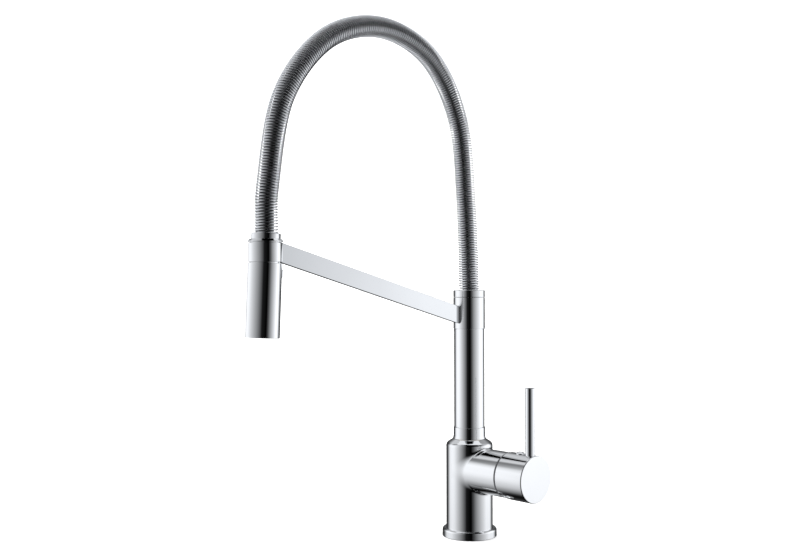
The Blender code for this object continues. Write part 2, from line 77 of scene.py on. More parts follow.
class Nodes:
    """Short names for making one material's node tree."""

    def __init__(self, name):
        self.material = bpy.data.materials.new(name)
        self.material.use_nodes = True
        self.tree = self.material.node_tree
        self.shader = self.tree.nodes["Principled BSDF"]
        self.place = self.tree.nodes.new("ShaderNodeTexCoord").outputs["Object"]

    def link(self, source, target):
        self.tree.links.new(source, target)

    def stretched(self, scale):
        """Object coordinates scaled per axis."""
        node = self.tree.nodes.new("ShaderNodeMapping")
        node.inputs["Scale"].default_value = scale
        self.link(self.place, node.inputs["Vector"])
        return node.outputs["Vector"]

    def noise(self, scale, detail=3.0, rough=0.5, vector=None):
        node = self.tree.nodes.new("ShaderNodeTexNoise")
        node.inputs["Scale"].default_value = scale
        node.inputs["Detail"].default_value = detail
        node.inputs["Roughness"].default_value = rough
        self.link(vector or self.place, node.inputs["Vector"])
        return node.outputs["Fac"]

    def ramp(self, value, stops):
        """A colour ramp from (position, colour) stops."""
        node = self.tree.nodes.new("ShaderNodeValToRGB")
        points = node.color_ramp.elements
        while len(points) < len(stops):
            points.new(0.5)
        for point, (position, colour) in zip(points, stops):
            point.position = position
            point.color = (*colour, 1.0)
        self.link(value, node.inputs["Fac"])
        return node.outputs["Color"]

    def between(self, value, low, high):
        """Maps the useful middle of a noise onto a range."""
        node = self.tree.nodes.new("ShaderNodeMapRange")
        node.inputs["From Min"].default_value = 0.3
        node.inputs["From Max"].default_value = 0.7
        node.inputs["To Min"].default_value = low
        node.inputs["To Max"].default_value = high
        self.link(value, node.inputs["Value"])
        return node.outputs["Result"]

    def bump(self, height, strength, distance):
        node = self.tree.nodes.new("ShaderNodeBump")
        node.inputs["Strength"].default_value = strength
        node.inputs["Distance"].default_value = distance
        self.link(height, node.inputs["Height"])
        self.link(node.outputs["Normal"], self.shader.inputs["Normal"])


def surface(name, dark, light, roughness, metallic, colour_scale, rough_scale, grain=None):
    """A Principled material whose colour and roughness wander, with a fine grain in its bump.

    grain is (scale per axis, strength, distance).
    """
    made = Nodes(name)
    made.shader.inputs["Metallic"].default_value = metallic
    tone = made.noise(colour_scale, 4.0, 0.55)
    made.link(made.ramp(tone, ((0.32, dark), (0.68, light))), made.shader.inputs["Base Color"])
    patches = made.noise(rough_scale, 5.0, 0.6)
    made.link(made.between(patches, *roughness), made.shader.inputs["Roughness"])
    if grain:
        scale, strength, distance = grain
        made.bump(made.noise(1.0, 2.0, 0.5, made.stretched(scale)), strength, distance)
    return made.material


def make_materials():
    """Every finish on the object, by the record's slot name, and a darker copy of the chrome that paints
    shade on the arm bar.
    """
    made = {}
    made["chrome"] = surface("polished_chrome", (0.935, 0.940, 0.948), (0.965, 0.968, 0.975),
                             (0.018, 0.045), 1.0, 14.0, 55.0, ((650, 650, 650), 0.02, 0.00002))
    # A darker copy of the chrome: painted shade that dims the arm bar's flat sides.
    made["shaded_chrome"] = surface("shaded_chrome", (0.805, 0.815, 0.828), (0.835, 0.845, 0.858),
                                  (0.03, 0.06), 1.0, 14.0, 55.0, ((650, 650, 650), 0.02, 0.00002))
    made["spring_steel"] = surface("spring_steel", (0.88, 0.89, 0.91), (0.95, 0.955, 0.965),
                                   (0.09, 0.14), 1.0, 260.0, 420.0,
                                   ((900, 900, 900), 0.06, 0.00003))
    made["brass"] = surface("turned_brass", (0.66, 0.48, 0.22), (0.80, 0.62, 0.32), (0.22, 0.38),
                            1.0, 90.0, 260.0, ((300, 300, 2600), 0.15, 0.00005))
    made["steel"] = surface("plain_steel", (0.52, 0.53, 0.55), (0.68, 0.69, 0.71), (0.18, 0.32),
                            1.0, 120.0, 400.0, ((500, 500, 2400), 0.12, 0.00004))
    made["rubber"] = surface("black_rubber", (0.018, 0.018, 0.018), (0.045, 0.044, 0.043),
                             (0.60, 0.80), 0.0, 180.0, 500.0, ((1500, 1500, 1500), 0.25, 0.00006))
    made["ceramic"] = surface("lapped_ceramic", (0.86, 0.85, 0.81), (0.93, 0.92, 0.90),
                              (0.16, 0.30), 0.0, 150.0, 600.0, ((2400, 2400, 2400), 0.05, 0.00002))
    made["white_plastic"] = surface("acetal", (0.76, 0.76, 0.73), (0.86, 0.86, 0.84),
                                    (0.38, 0.52), 0.0, 100.0, 500.0,
                                    ((1300, 1300, 1300), 0.10, 0.00004))
    made["black_plastic"] = surface("black_plastic", (0.030, 0.031, 0.034), (0.062, 0.063, 0.068),
                                    (0.36, 0.55), 0.0, 130.0, 600.0,
                                    ((1800, 1800, 1800), 0.22, 0.00005))
    made["silicone"] = surface("grey_silicone", (0.38, 0.39, 0.41), (0.50, 0.51, 0.53),
                               (0.50, 0.66), 0.0, 140.0, 480.0, ((1600, 1600, 1600), 0.15, 0.00004))
    return made


FINISH = make_materials()


# ---------------------------------------------------------------- mesh helpers

def stand(name, mesh, finish, body, replaced, blend=None, look=None):
    """Turns a mesh into a finished piece in place of the named CAD nodes."""
    mesh.materials.append(FINISH[look or finish])
    piece = bpy.data.objects.new(name, mesh)
    bpy.context.scene.collection.objects.link(piece)
    if blend:
        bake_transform(piece)
    else:
        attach(piece, body)
    if replaced:
        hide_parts(*replaced)
    return piece


def outline(corners, steps=8):
    """A profile's (point, normal) pairs, where a corner (r, h, radius) becomes an arc.

    A sharp corner's normal is None. The material lies to the left of the profile's direction.
    """
    points = []
    for i, corner in enumerate(corners):
        here = Vector(corner[:2])
        if len(corner) == 2:
            points.append((here, None))
            continue
        before = (Vector(corners[i - 1][:2]) - here).normalized()
        after = (Vector(corners[(i + 1) % len(corners)][:2]) - here).normalized()
        half = before.angle(after) / 2
        centre = here + (before + after).normalized() * corner[2] / math.sin(half)
        first = here + before * corner[2] / math.tan(half) - centre
        sweep = first.angle_signed(here + after * corner[2] / math.tan(half) - centre)
        outward = first.dot(Vector((-before.y, before.x)))
        for k in range(steps + 1):
            spoke = Matrix.Rotation(-sweep * k / steps, 2) @ first
            points.append((centre + spoke, spoke.normalized() * math.copysign(1, outward)))
    return points


AXES = {
    "Z": Matrix.Identity(4),
    "X": Matrix.Rotation(math.radians(90), 4, "Y"),
    "Y": Matrix.Rotation(math.radians(-90), 4, "X"),
}
SPRAY_FRAME = Matrix.Translation((0, -HOLDER_REACH, SPRAY_HEIGHT)) @ Matrix.Rotation(
    -SPRAY_LEAN, 4, "X")


def build(name, verts, faces, normals, place):
    """A smooth mesh from millimetre vertices, faces and one normal for each face corner."""
    mesh = bpy.data.meshes.new(name)
    turn = place.to_3x3()
    mesh.from_pydata([(place @ Vector(v)) * MM for v in verts], [], faces)
    mesh.shade_smooth()
    mesh.normals_split_custom_set([(turn @ Vector(n)).normalized() for n in normals])
    return mesh


def lathe_mesh(name, corners, axis="Z", at=(0, 0, 0), place=None, sides=144):
    """A turned solid from an outline of (radius, height[, fillet]) corners, counterclockwise."""
    points = outline(corners)
    closed = points[0][0].x > 1e-6 or points[-1][0].x > 1e-6
    verts, rings = [], []
    for point, _ in points:
        count = sides if point.x > 1e-6 else 1
        rings.append([len(verts) + k for k in range(count)])
        verts += [(point.x * math.cos(TURN * k / sides), point.x * math.sin(TURN * k / sides),
                   point.y) for k in range(count)]
    faces, normals = [], []
    pairs = list(zip(range(len(points)), list(range(1, len(points))) + [0]))
    for i, j in pairs if closed else pairs[:-1]:
        along = points[j][0] - points[i][0]
        if along.length < 1e-7 or len(rings[i]) == len(rings[j]) == 1:
            continue
        flat = Vector((along.y, -along.x)).normalized()
        at_i = points[i][1] or flat
        at_j = points[j][1] or flat
        at_i = at_i if at_i.dot(flat) > 0.5 else flat
        at_j = at_j if at_j.dot(flat) > 0.5 else flat
        for k in range(sides):
            m = (k + 1) % sides
            corner = [(rings[i][k % len(rings[i])], at_i, k), (rings[i][m % len(rings[i])], at_i, k + 1),
                      (rings[j][m % len(rings[j])], at_j, k + 1), (rings[j][k % len(rings[j])], at_j, k)]
            if len(rings[i]) == 1:
                corner.pop(1)
            if len(rings[j]) == 1:
                corner.pop(2)
            faces.append([c[0] for c in corner])
            normals += [(n.x * math.cos(TURN * q / sides), n.x * math.sin(TURN * q / sides), n.y)
                        for _, n, q in corner]
    whole = (place or Matrix.Identity(4)) @ Matrix.Translation(at) @ AXES[axis]
    return build(name, verts, faces, normals, whole)


def turned(name, corners, finish, body, replaced=None, **where):
    """A turned piece that stands for the CAD node of the same name."""
    mesh = lathe_mesh(name + "_mesh", corners, **where)
    return stand(name + "_fine", mesh, finish, body, replaced or [name])


def take_mesh(source, name):
    """The evaluated mesh of an object with modifiers; the object itself is removed."""
    graph = bpy.context.evaluated_depsgraph_get()
    mesh = bpy.data.meshes.new_from_object(source.evaluated_get(graph))
    mesh.name = name
    bpy.data.objects.remove(source)
    return mesh


def loose(name, mesh):
    """A helper object that isn't kept."""
    made = bpy.data.objects.new(name, mesh)
    bpy.context.scene.collection.objects.link(made)
    return made


def shade_exactly(mesh, normal_at):
    """Smooth shading that follows normal_at (row frame, metres) wherever the faces agree with it."""
    mesh.shade_smooth()
    mesh.set_sharp_from_angle(angle=math.radians(32))
    corner = np.array([n.vector for n in mesh.corner_normals])
    for face in mesh.polygons:
        for loop in face.loop_indices:
            exact = normal_at(mesh.vertices[mesh.loops[loop].vertex_index].co)
            if exact is not None and exact.dot(face.normal) > 0.93:
                corner[loop] = exact
    mesh.normals_split_custom_set(corner.tolist())


# ---------------------------------------------------------------- valve body

BODY_RADIUS = -span("valve_body", X)[0]
BODY_LOW, BODY_TOP = span("valve_body", Z)
SHOULDER_RISE, SHOULDER_RUN = 4.0, 6.6                # the sloping shoulder, up and inward
SHOULDER_EDGE = (BODY_RADIUS, BODY_TOP - SHOULDER_RISE)
SHOULDER_SLOPE = Vector((SHOULDER_RISE, SHOULDER_RUN)).normalized()
SHOULDER_FILLET = 5.0
BOSS_RADIUS = 21.7
BOSS_END = span("valve_body", X)[1]
BLEND = 2.6                                           # how softly the boss runs into the body
EDGE_FILLET = 0.2
SEAM_FACE = BOSS_END - 1.15                           # the boss's rim, behind a black ring that paints the seam's shade
SEAM_BORE = 20.3


def body_distance(p):
    """Distance in millimetres from points to the cast surface: body and boss, softly joined."""
    out = np.hypot(p[:, 0], p[:, 1]) - SHOULDER_EDGE[0]
    up = p[:, 2] - SHOULDER_EDGE[1]
    slope = out * SHOULDER_SLOPE.x + up * SHOULDER_SLOPE.y
    upright = np.maximum(out, slope)
    centre_up = -SHOULDER_FILLET * (1 - SHOULDER_SLOPE.x) / SHOULDER_SLOPE.y
    q_out, q_up = out + SHOULDER_FILLET, up - centre_up
    in_arc = (q_up > 0) & (q_out * SHOULDER_SLOPE.y - q_up * SHOULDER_SLOPE.x > 0)
    upright = np.where(in_arc, np.hypot(q_out, q_up) - SHOULDER_FILLET, upright)
    boss = np.maximum(np.hypot(p[:, 1], p[:, 2] - LEVER_HEIGHT) - BOSS_RADIUS, -p[:, 0])
    near = np.maximum(BLEND - np.abs(upright - boss), 0) / BLEND
    return np.minimum(upright, boss) - near * near * BLEND / 4


def body_gradient(p, step=0.02):
    """The surface's outward direction at points."""
    sides = [body_distance(p + step * e) - body_distance(p - step * e) for e in np.eye(3)]
    return np.stack(sides, 1) / (2 * step)


def grow_rim(mesh_data, edges, places):
    """Extends an open rim through rings given by functions of a rim vertex, then closes it."""
    for place in places:
        grown = bmesh.ops.extrude_edge_only(mesh_data, edges=edges)["geom"]
        for vert in (g for g in grown if isinstance(g, bmesh.types.BMVert)):
            vert.co = place(vert.co)
        edges = [g for g in grown if isinstance(g, bmesh.types.BMEdge) and g.is_boundary]
    bmesh.ops.holes_fill(mesh_data, edges=edges, sides=0)


def round_rim(radius, level, axis):
    """A rim function: keeps the angle about the axis, sets radius and level."""
    def place(co):
        if axis == X:
            flat = Vector((0, co.y, co.z - LEVER_HEIGHT)).normalized() * radius
            return Vector((level, flat.y, flat.z + LEVER_HEIGHT))
        flat = Vector((co.x, co.y, 0)).normalized() * radius
        return Vector((flat.x, flat.y, level))
    return place


def make_valve_body():
    """The chrome casting. Its soft joint comes from a distance field, cut square at its three ends."""
    reach = 5.0
    top_radius = BODY_RADIUS - (reach + SHOULDER_RISE) * SHOULDER_RUN / SHOULDER_RISE
    upright = lathe_mesh("upright", [(0, BODY_LOW - reach), (BODY_RADIUS, BODY_LOW - reach),
                                     SHOULDER_EDGE, (top_radius, BODY_TOP + reach),
                                     (0, BODY_TOP + reach)], sides=64)
    boss = lathe_mesh("boss", [(0, 0), (BOSS_RADIUS, 0), (BOSS_RADIUS, BOSS_END + reach),
                               (0, BOSS_END + reach)], "X", (0, 0, LEVER_HEIGHT), sides=64)
    data = bmesh.new()
    data.from_mesh(upright)
    data.from_mesh(boss)
    bmesh.ops.scale(data, vec=(1 / MM,) * 3, verts=data.verts)
    both = bpy.data.meshes.new("both")
    data.to_mesh(both)
    data.free()
    source = loose("casting", both)
    remesh = source.modifiers.new("voxels", "REMESH")
    remesh.mode = "VOXEL"
    remesh.voxel_size = 0.9
    mesh = take_mesh(source, "valve_body_mesh")

    points = np.array([v.co for v in mesh.vertices], float)
    for _ in range(8):
        slope = body_gradient(points)
        steepness = np.maximum((slope ** 2).sum(1, keepdims=True), 0.25)
        points -= np.clip(body_distance(points)[:, None] * slope / steepness, -1, 1)
    mesh.vertices.foreach_set("co", points.astype(np.float32).ravel())

    data = bmesh.new()
    data.from_mesh(mesh)
    for level, axis, keep in ((BODY_LOW, Z, 1), (BODY_TOP, Z, -1), (SEAM_FACE - EDGE_FILLET, X, -1)):
        spot = [0.0, 0.0, 0.0]
        spot[axis] = level
        across = [0.0, 0.0, 0.0]
        across[axis] = -keep
        bmesh.ops.bisect_plane(data, geom=[*data.verts, *data.edges, *data.faces], dist=1e-5,
                               plane_co=spot, plane_no=across, clear_outer=True)

    def rim(axis, level):
        return [e for e in data.edges if e.is_boundary
                and all(abs(v.co[axis] - level) < 0.01 for v in e.verts)]

    base_bore, base_roof = 17.3, 46.0
    grow_rim(data, rim(Z, BODY_LOW), [round_rim(base_bore, BODY_LOW, Z),
                                      round_rim(base_bore, base_roof, Z)])
    bush_bore, bush_floor = 14.0, 84.7
    spigot_bore, spigot_floor = 12.3, 58.0
    grow_rim(data, rim(Z, BODY_TOP),
             [round_rim(bush_bore, BODY_TOP, Z), round_rim(bush_bore, bush_floor, Z),
              round_rim(spigot_bore, bush_floor, Z), round_rim(spigot_bore, spigot_floor, Z)])
    cartridge_bore, cartridge_floor = 18.0, 17.3
    arc = [math.radians(a) for a in (22.5, 45, 67.5, 90)]
    edge = [round_rim(BOSS_RADIUS - EDGE_FILLET * (1 - math.cos(a)),
                      SEAM_FACE - EDGE_FILLET * (1 - math.sin(a)), X) for a in arc]
    grow_rim(data, rim(X, SEAM_FACE - EDGE_FILLET),
             edge + [round_rim(SEAM_BORE, SEAM_FACE, X), round_rim(SEAM_BORE, BOSS_END, X),
                     round_rim(cartridge_bore, BOSS_END, X),
                     round_rim(cartridge_bore, cartridge_floor, X)])
    bmesh.ops.recalc_face_normals(data, faces=data.faces)
    bmesh.ops.scale(data, vec=(MM, MM, MM), verts=data.verts)
    data.to_mesh(mesh)
    data.free()

    source = loose("casting", mesh)
    hole = lathe_mesh("grub_screw_hole", [(0, 11), (2.3, 11), (2.3, 22.7), (2.8, 23.2), (2.8, 26),
                                          (0, 26)], "Y", (0, 0, sum(span("spout_grub_screw", Z)) / 2),
                      sides=32)
    cutter = loose("grub_screw_hole", hole)
    cut = source.modifiers.new("grub_screw_hole", "BOOLEAN")
    cut.object = cutter
    mesh = take_mesh(source, "valve_body_mesh")
    bpy.data.objects.remove(cutter)

    points = np.array([v.co for v in mesh.vertices], float) / MM
    slope = body_gradient(points)
    slope /= np.linalg.norm(slope, axis=1, keepdims=True)
    near = np.abs(body_distance(points)) < 0.02
    exact = {tuple(v.co): Vector(n) for v, n, ok in zip(mesh.vertices, slope, near) if ok}
    shade_exactly(mesh, lambda co: exact.get(tuple(co)))
    stand("valve_body_fine", mesh, "chrome", "base", ["valve_body"])

    # A black ring filling the seam between boss and cap: painted shade, a dark band where the gap lies in
    # shadow.
    ring = lathe_mesh("glide_ring_mesh", [(SEAM_BORE + 0.1, SEAM_FACE + 0.05),
                                          (BOSS_RADIUS - 0.12, SEAM_FACE + 0.05, 0.1),
                                          (BOSS_RADIUS - 0.12, BOSS_END + 0.4, 0.1),
                                          (SEAM_BORE + 0.1, BOSS_END + 0.4)],
                      "X", (0, 0, LEVER_HEIGHT))
    stand("seam_shade_ring", ring, "black_plastic", "base", [])


# ---------------------------------------------------------------- base and column

def make_base():
    """The flange under the body."""
    radius = span("base_flange", X)[1]
    top = span("base_flange", Z)[1]
    turned("base_flange", [(17.3, 0), (20.3, 0), (20.3, 1.8), (23.5, 1.8), (23.5, 0),
                           (radius - 0.3, 0), (radius, 0.3), (radius, top, 2.7), (23.1, top, 0.15),
                           (23.1, 3.3), (17.3, 3.3)], "chrome", "base")


def make_column():
    """Neck ring, riser, sleeve and the cap that the spring comes out of."""
    foot, neck_top = span("neck_ring", Z)
    neck, wide = 15.6, span("neck_ring", X)[1]
    turned("neck_ring", [(13, foot), (wide, foot), (neck + 0.1, foot + 2.6, 2.2),
                         (neck, neck_top, 0.25), (13, neck_top)], "chrome", "spout")
    low, high = span("riser_tube", Z)
    radius, sleeve_low = span("riser_tube", X)[1], span("arm_sleeve", Z)[0]
    lip = 0.35                          # a spigot that closes the joint with the neck ring
    turned("riser_tube", [(12.6, low - lip), (14.2, low - lip), (14.2, low), (radius, low, 0.1),
                          (radius, sleeve_low - 0.3), (13.9, sleeve_low - 0.3), (13.9, high),
                          (12.6, high)], "chrome", "spout")
    low, high = span("arm_sleeve", Z)
    wide = span("arm_sleeve", X)[1]
    turned("arm_sleeve", [(14.2, low), (wide, low, 0.3), (wide, high, 0.2), (14.2, high)],
           "chrome", "spout")
    low, high = span("column_cap", Z)
    turned("column_cap", [(14.2, low), (wide, low, 0.2), (wide, high, 0.6), (10.4, high, 0.3),
                          (10.4, 239), (14.2, 239)], "chrome", "spout")


def make_arm():
    """The flat bar on edge, its long edges eased, its ends let into the sleeve and the ring."""
    thick = span("arm_bar", X)[1]
    rise, middle, height = 0.266, 213.65, 17.0
    near, far = 14.6, HOLDER_REACH - 13.4
    ease = 0.45
    arc = [math.radians(a) for a in (0, 22.5, 45, 67.5, 90)]
    corners = []
    for across, up in ((1, 1), (-1, 1), (-1, -1), (1, -1)):
        turns = arc if across * up > 0 else arc[::-1]
        corners += [(across * (thick - ease + ease * math.cos(a)),
                     up * (height / 2 - ease + ease * math.sin(a)),
                     across * math.cos(a), up * math.sin(a)) for a in turns]
    rings, verts = [], []
    for reach in (near, far):
        rings.append([len(verts) + k for k in range(len(corners))])
        verts += [(x, -reach, middle + rise * reach + z) for x, z, _, _ in corners]
    faces, normals = [list(reversed(rings[0])), rings[1]], []
    normals += [(0, 1, 0)] * len(corners) + [(0, -1, 0)] * len(corners)
    lean = math.hypot(1, rise)
    for k in range(len(corners)):
        m = (k + 1) % len(corners)
        faces.append([rings[0][k], rings[0][m], rings[1][m], rings[1][k]])
        for q in (k, m, m, k):
            normals.append((corners[q][2], rise * corners[q][3] / lean, corners[q][3] / lean))
    mesh = build("arm_bar_mesh", verts, faces, normals, Matrix.Identity(4))
    # The bar wears the darker copy of the chrome, painted shade on its flat sides.
    stand("arm_bar_fine", mesh, "chrome", "spout", ["arm_bar"], look="shaded_chrome")


def make_holder():
    """The ring that docks the head, and the thin rim on it."""
    at = (0, -HOLDER_REACH, 0)
    low, high = span("holder_ring", Z)
    radius = span("holder_ring", X)[1]
    turned("holder_ring", [(13.1, low), (radius, low, 0.35), (radius, high - 0.3, 0.25),
                           (13.1, high - 0.3)], "chrome", "spout", at=at)
    low, high = span("holder_rim", Z)
    turned("holder_rim", [(13.2, low), (14.8, low, 0.2), (14.8, low + 0.8, 0.3), (13.7, high, 0.3),
                          (13.2, high)], "chrome", "spout", at=at)


# ---------------------------------------------------------------- lever

def make_lever():
    """The cap with its bevelled lower back edge, the pin and the screw cover."""
    back, front = span("lever_cap", X)
    radius, bore, hub = span("lever_cap", Y)[1], 21.3, 60.0
    cut_start, cut_slope = -17.5, math.tan(math.radians(29))
    fillet, sides = 1.0, 180
    arc = [math.radians(a) for a in range(0, 91, 15)]
    verts, rows = [], []
    for k in range(sides):
        c, s = math.cos(TURN * k / sides), math.sin(TURN * k / sides)
        inner = min(back + max(cut_start - bore * s, 0) / cut_slope, hub)
        outer = back + max(cut_start - radius * s, 0) / cut_slope
        line = [(4.6, 74.5), (4.6, hub), (bore, hub), (bore, inner), (radius, outer)]
        line += [(radius - fillet + fillet * math.cos(a), front - fillet + fillet * math.sin(a))
                 for a in arc]
        rows.append([len(verts) + i for i in range(len(line))])
        verts += [(x, r * c, LEVER_HEIGHT + r * s) for r, x in line]
    deep, face = len(verts), len(verts) + 1
    verts += [(74.5, 0, LEVER_HEIGHT), (front, 0, LEVER_HEIGHT)]
    faces = []
    for k in range(sides):
        a, b = rows[k], rows[(k + 1) % sides]
        faces += [[a[i], b[i], b[i + 1], a[i + 1]] for i in range(len(a) - 1)]
        faces += [[deep, b[0], a[0]], [a[-1], b[-1], face]]
    data = bmesh.new()
    made = [data.verts.new(Vector(v) * MM) for v in verts]
    for f in faces:
        data.faces.new([made[i] for i in f])
    bmesh.ops.recalc_face_normals(data, faces=data.faces)
    mesh = bpy.data.meshes.new("lever_cap_raw")
    data.to_mesh(mesh)
    data.free()

    source = loose("cap", mesh)
    pin_at, plug_at = sum(span("lever_pin", X)) / 2, sum(span("screw_cover", X)) / 2
    pin_radius = (span("lever_pin", X)[1] - span("lever_pin", X)[0]) / 2
    plug_radius = (span("screw_cover", X)[1] - span("screw_cover", X)[0]) / 2
    holes = ([(0, 8), (pin_radius + 0.15, 8), (pin_radius + 0.15, 26), (0, 26)],
             [(0, 4), (2.7, 4), (2.7, 21.5), (plug_radius + 0.2, 21.5),
              (plug_radius + 0.2, 26), (0, 26)])
    cutters = []
    for number, (corners, at) in enumerate(zip(holes, (pin_at, plug_at))):
        tool = loose(f"hole_{number}", lathe_mesh(f"hole_{number}", corners, at=(at, 0, LEVER_HEIGHT),
                                                  sides=48))
        cut = source.modifiers.new(tool.name, "BOOLEAN")
        cut.object = tool
        cutters.append(tool)
    mesh = take_mesh(source, "lever_cap_mesh")
    for tool in cutters:
        bpy.data.objects.remove(tool)

    def normal_at(co):
        across = Vector((0, co.y, co.z - LEVER_HEIGHT * MM))
        out = across.length - (radius - fillet) * MM
        ahead = co.x - (front - fillet) * MM
        if out < 1e-6 and ahead > 0.5 * fillet * MM:
            return Vector((1, 0, 0))
        if out < 0.5 * fillet * MM and ahead < 0:
            return None
        return (across.normalized() * max(out, 0) + Vector((max(ahead, 0), 0, 0))).normalized()

    shade_exactly(mesh, normal_at)
    stand("lever_cap_fine", mesh, "chrome", "lever", ["lever_cap"])

    low, high = (h - LEVER_HEIGHT for h in span("lever_pin", Z))
    turned("lever_pin", [(0, low), (pin_radius, low), (pin_radius, high, 0.45), (0, high)], "chrome",
           "lever", at=(pin_at, 0, LEVER_HEIGHT), sides=72)
    top = span("screw_cover", Z)[1] - LEVER_HEIGHT
    turned("screw_cover", [(0, 15), (2.4, 15), (2.4, 21.8), (plug_radius, 21.8),
                           (plug_radius, 22.8, 0.35), (2.4, top, 1.8), (0, top)], "chrome", "lever",
           at=(plug_at, 0, LEVER_HEIGHT), sides=72)


# ---------------------------------------------------------------- hose arch

ARCH_START = (0.0, 240.0)
ARCH_POINTS = ((4.1, 326.0), (15.4, 407.5), (54.2, 464.2), (116.0, 483.3),
               (179.6, 464.2), (227.2, 408.5), (243.9, 332.0))
LEAD_IN = 55.0               # how far past each end the curve's guide points lie
COLLAR_TOP = 16.0
SPRING_RADIUS = 9.9
WIRE = 1.58                  # wire thickness
PITCH = 2.38                 # from turn to turn along the centre line
COIL_RADIUS = SPRING_RADIUS - WIRE / 2


def spray_axis_point(h):
    """(reach, height) of a point on the spray head's leaning axis."""
    return np.array([HOLDER_REACH - h * math.sin(SPRAY_LEAN), SPRAY_HEIGHT + h * math.cos(SPRAY_LEAN)])


def arch_line(low, h_end, steps=60):
    """The hose's centre line as closely spaced (length along, reach, height) rows."""
    start, end = np.array(ARCH_START), spray_axis_point(COLLAR_TOP)
    knots = [start - (0, LEAD_IN), start]
    knots += [np.array(p) for p in ARCH_POINTS]
    knots += [end, spray_axis_point(COLLAR_TOP - LEAD_IN)]
    line = [np.array([0.0, low])]
    for a, b, c, d in zip(knots, knots[1:], knots[2:], knots[3:]):
        for k in range(steps):
            t = k / steps
            line.append(0.5 * (2 * b + (c - a) * t + (2 * a - 5 * b + 4 * c - d) * t ** 2
                               + (3 * b - a - 3 * c + d) * t ** 3))
    line = np.array(line + [end, spray_axis_point(h_end)])
    length = np.concatenate([[0], np.cumsum(np.linalg.norm(np.diff(line, axis=0), axis=1))])
    return np.column_stack([length, line])


def along_arch(rows, s):
    """Centre points and directions on the arch at distances s, in the row frame."""
    def at(q):
        reach, height = np.interp(q, rows[:, 0], rows[:, 1]), np.interp(q, rows[:, 0], rows[:, 2])
        return np.stack([np.zeros_like(q), -reach, height], 1)
    ahead = at(np.minimum(s + 1.5, rows[-1, 0])) - at(np.maximum(s - 1.5, 0))
    return at(s), ahead / np.linalg.norm(ahead, axis=1, keepdims=True)


def tube_mesh(name, centres, spokes_a, spokes_b, half_a, half_b, sides, turn=0.0):
    """A closed tube with an oval section round each centre."""
    count = len(centres)
    angles = TURN * np.arange(sides) / sides + turn
    verts = (centres[:, None] + half_a * np.cos(angles)[None, :, None] * spokes_a[:, None]
             + half_b * np.sin(angles)[None, :, None] * spokes_b[:, None]).reshape(-1, 3)
    ring = np.arange(sides)
    step = (np.arange(count - 1) * sides)[:, None]
    quads = np.stack([step + ring, step + (ring + 1) % sides, step + sides + (ring + 1) % sides,
                      step + sides + ring], -1).reshape(-1, 4)
    mesh = bpy.data.meshes.new(name)
    caps = [list(range(sides))[::-1], [(count - 1) * sides + k for k in range(sides)]]
    mesh.from_pydata((verts * MM).tolist(), [], quads.tolist() + caps)
    data = bmesh.new()
    data.from_mesh(mesh)
    bmesh.ops.recalc_face_normals(data, faces=data.faces)
    data.to_mesh(mesh)
    data.free()
    mesh.shade_smooth()
    mesh.set_sharp_from_angle(angle=math.radians(60))
    return mesh


def arch_blend():
    """The bodies that the arch joins, and where it stops following one and starts the other."""
    edge = 10.0 * MM
    return ("spout", "hose_end", (0, -edge, 0.3), (0, -HOLDER_REACH * MM + edge, 0.3))


def make_arch():
    """The close wound spring and the hose inside it."""
    rows = arch_line(233.4, 2.5)
    per_turn = 36
    count = int(rows[-1, 0] / PITCH * per_turn)
    s = np.linspace(WIRE / 2, rows[-1, 0] - WIRE / 2, count)
    centres, ahead = along_arch(rows, s)
    sideways = np.tile(np.array([1.0, 0, 0]), (count, 1))
    across = np.cross(ahead, sideways)
    turn = TURN * s / PITCH
    spoke = np.cos(turn)[:, None] * sideways + np.sin(turn)[:, None] * across
    wander = 0.05 * np.sin(turn * 0.37) + 0.04 * np.sin(turn * 0.113 + 1.0)
    middle = centres + COIL_RADIUS * spoke + wander[:, None] * ahead
    mesh = tube_mesh("spring_mesh", middle, spoke, ahead, WIRE / 2, WIRE / 2, 8)
    stand("spring_coil", mesh, "spring_steel", None, ["spring_cover"], arch_blend())

    rows = arch_line(224.4, 1.2)
    s = np.linspace(0, rows[-1, 0], 260)
    centres, ahead = along_arch(rows, s)
    sideways = np.tile(np.array([1.0, 0, 0]), (len(s), 1))
    mesh = tube_mesh("hose_mesh", centres, sideways, np.cross(ahead, sideways), 6.4, 6.4, 32)
    stand("inner_hose_fine", mesh, "black_plastic", None, ["inner_hose"], arch_blend())


# ---------------------------------------------------------------- spray head

SHELL_TOP, SHELL_LIP, SHELL_BOTTOM = -10.0, -8.9, -71.0
SHELL_RADIUS, SHELL_BORE, SHELL_FILLET, SHELL_LIP_FILLET = 14.3, 12.8, 0.5, 0.25
BUTTON_WIDTH, BUTTON_LOW, BUTTON_HIGH = 11.0, -20.5, -13.5
BUTTON_FACE = 16.0


def rounded_box_outline(half_width, low, high, radius, steps=6):
    """A rounded rectangle's (across, up) points, counterclockwise."""
    points = []
    for number, (x, z) in enumerate(((1, 1), (-1, 1), (-1, -1), (1, -1))):
        centre_x = x * (half_width - radius)
        centre_z = high - radius if z > 0 else low + radius
        for k in range(steps + 1):
            a = math.pi / 2 * (number + k / steps)
            points.append((centre_x + radius * math.cos(a), centre_z + radius * math.sin(a)))
    return points


